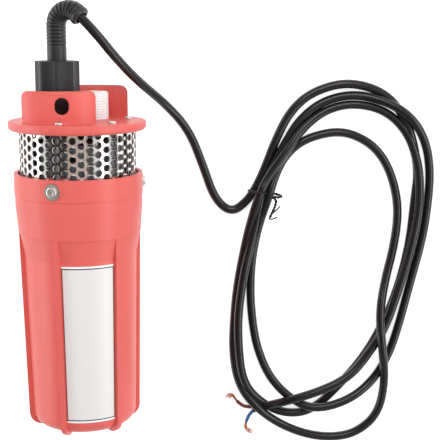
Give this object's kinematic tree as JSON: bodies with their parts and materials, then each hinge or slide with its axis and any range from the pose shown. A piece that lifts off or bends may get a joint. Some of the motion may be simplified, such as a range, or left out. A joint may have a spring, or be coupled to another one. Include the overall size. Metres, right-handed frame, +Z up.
{
  "type": "solar submersible pump",
  "caption": "Slim submersible well pump lying on its side: ribbed red canister, perforated strainer, cap with two lifting ears, threaded outlet, cord gland and a coiled cord beside it.",
  "frame": {"origin": "middle of the pump's outline on the ground, without the cord", "axes": "+Z up from the ground, +Y along the pump towards its cap, raised 2.2 degrees as it lies, +X across towards the coil"},
  "size_m": [0.3078, 0.3308, 0.096],
  "materials": {
    "red_plastic": "moulded, low gloss",
    "label_white": "blank plate",
    "bright_steel": "polished stainless steel",
    "screw_steel": "stainless screws",
    "black_plastic": "moulded nylon",
    "black_rubber": "soft rubber",
    "cord_jacket": "smooth jacket",
    "tie_coat": "coated wire",
    "brown_jacket": "insulation",
    "blue_jacket": "insulation",
    "copper": "bare copper",
    "white_plastic": "white nylon",
    "dark_steel": "plain steel",
    "aluminium": "die cast",
    "ferrite": "ferrite and carbon"
  },
  "bodies": {
    "pump": {"blue_strands": "copper", "blue_wire": "blue_jacket", "brown_strands": "copper", "brown_wire": "brown_jacket", "brush_holder": "black_plastic", "brushes": "ferrite", "cap_screws": "screw_steel", "cord": "cord_jacket", "cord_boot": "black_rubber", "cord_coil": "cord_jacket", "cord_in_gland": "cord_jacket", "cord_tie": "tie_coat", "diaphragm": "black_rubber", "front_bearing": "dark_steel", "gland_body": "black_plastic", "gland_locknut": "black_plastic", "gland_nut": "black_plastic", "gland_seal": "black_rubber", "head_bolts": "screw_steel", "housing": "red_plastic", "housing_screws": "screw_steel", "housing_seal": "black_rubber", "housing_washers": "screw_steel", "inlet_valves": "black_rubber", "label": "label_white", "magnets": "ferrite", "motor_can": "dark_steel", "motor_front_cover": "black_plastic", "motor_leads": "cord_jacket", "motor_pad": "black_rubber", "motor_rear_cover": "black_plastic", "motor_screws": "screw_steel", "outlet_fitting": "white_plastic", "outlet_seal": "black_rubber", "outlet_valve": "black_rubber", "pump_base": "black_plastic", "pump_head": "black_plastic", "rear_bearing": "dark_steel", "shaft_seal": "black_rubber", "strainer": "bright_steel", "top_cap": "red_plastic", "valve_plate": "black_plastic"},
    "rotor": {"motor_shaft": "dark_steel", "rotor_core": "dark_steel", "windings": "copper", "commutator": "copper", "wobble_hub": "aluminium", "drive_bearing_inner": "dark_steel", "drive_bearing_cage": "dark_steel"},
    "wobble": {"drive_bearing_outer": "dark_steel", "wobble_plate": "aluminium", "piston_caps": "white_plastic", "piston_screws": "screw_steel"}
  },
  "joints": [
    {"name": "rotor_spin", "type": "hinge", "parent": "pump", "child": "rotor", "pos_m": [0, 0.02821, 0.04653], "axis": [0, 0.9993, 0.0384], "continuous": true},
    {"name": "wobble_turn", "type": "hinge", "parent": "rotor", "child": "wobble", "pos_m": [0, 0.02821, 0.04653], "axis": [0.0698, 0.9968, 0.0383], "continuous": true}
  ],
  "couplings": [
    {"joint": "wobble_turn", "follows": "rotor_spin", "ratio": -1}
  ]
}
